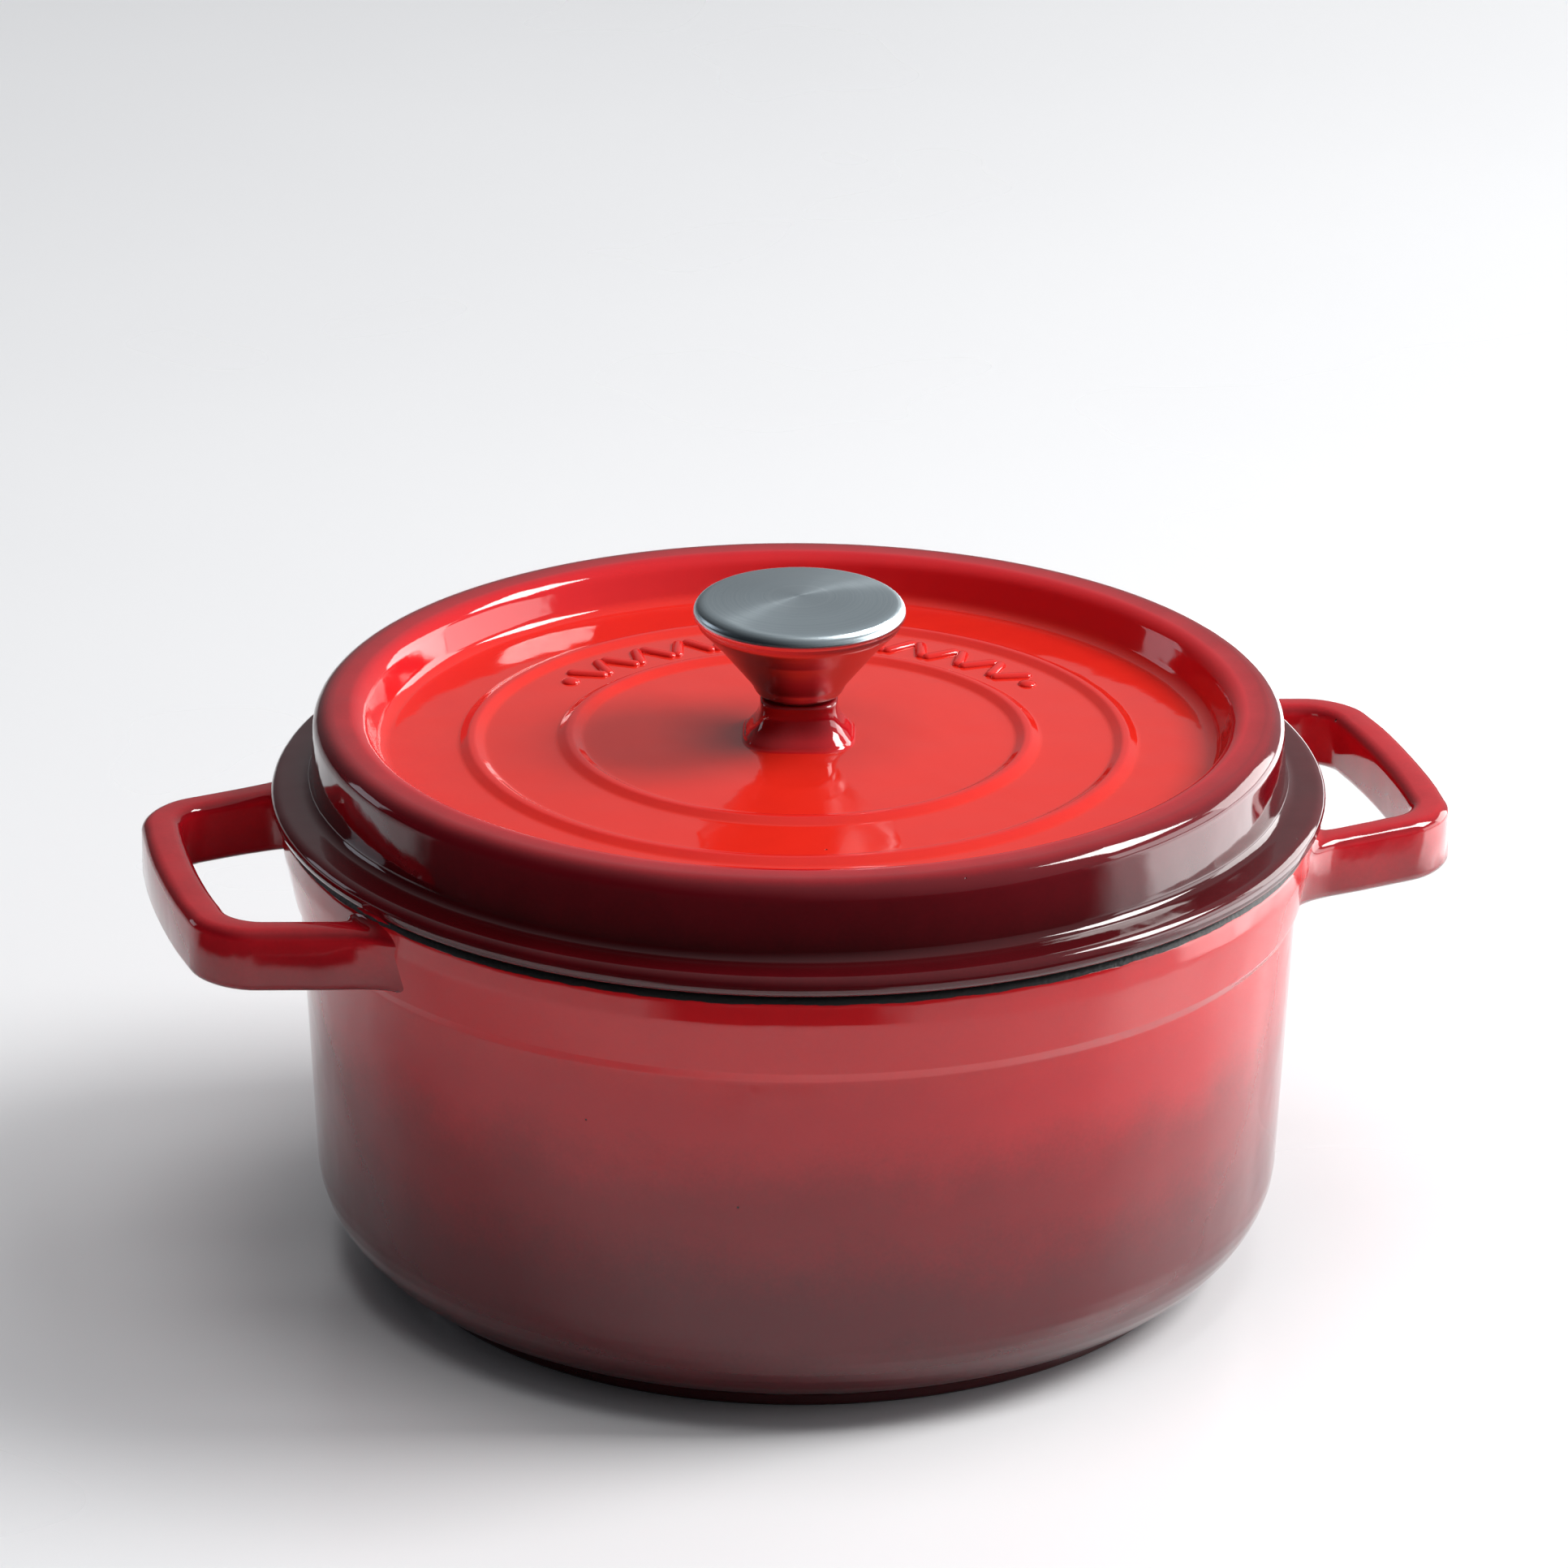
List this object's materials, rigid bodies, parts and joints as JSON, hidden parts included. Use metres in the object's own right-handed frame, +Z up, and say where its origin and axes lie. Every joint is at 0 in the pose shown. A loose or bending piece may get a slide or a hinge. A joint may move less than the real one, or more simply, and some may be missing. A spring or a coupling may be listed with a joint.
{
  "type": "covered casserole dish",
  "caption": "Round enamelled cast-iron casserole with two loop handles and a recessed lid, lifted by a steel knob screwed on from below.",
  "frame": {"origin": "centre of the foot's underside", "axes": "+X along the line through both handles, +Y across it, +Z up towards the knob"},
  "size_m": [0.3156, 0.255, 0.1674],
  "materials": {
    "pot_enamel": "glossy translucent red enamel that darkens to maroon at the foot, matte black enamel inside and on the rim",
    "lid_enamel": "glossy bright red enamel that darkens to burgundy on the outer wall and flange, matte black enamel underneath",
    "knob_steel": "satin stainless steel",
    "cap_steel": "stainless steel, turned so that its highlights run from the centre to the edge",
    "fastener_steel": "plated steel"
  },
  "bodies": {
    "pot": {"pot": "pot_enamel"},
    "lid": {"lid": "lid_enamel"},
    "knob": {"knob_cone": "knob_steel", "knob_cap": "cap_steel", "knob_sleeve": "fastener_steel"},
    "screw": {"knob_screw": "fastener_steel", "spring_washer": "fastener_steel", "flat_washer": "fastener_steel"}
  },
  "joints": [
    {"name": "lid_lift", "type": "slide", "parent": "pot", "child": "lid", "axis": [0, 0, 1], "range_m": [0, 0.16]},
    {"name": "knob_turn", "type": "hinge", "parent": "lid", "child": "knob", "pos_m": [0, 0, 0.142], "axis": [0, 0, 1], "range_deg": [0, 2880]},
    {"name": "screw_withdraw", "type": "slide", "parent": "lid", "child": "screw", "axis": [0, 0, -1], "range_m": [0, 0.008]}
  ],
  "couplings": [
    {"joint": "screw_withdraw", "follows": "knob_turn", "m_per_rad": 0.00015915}
  ]
}
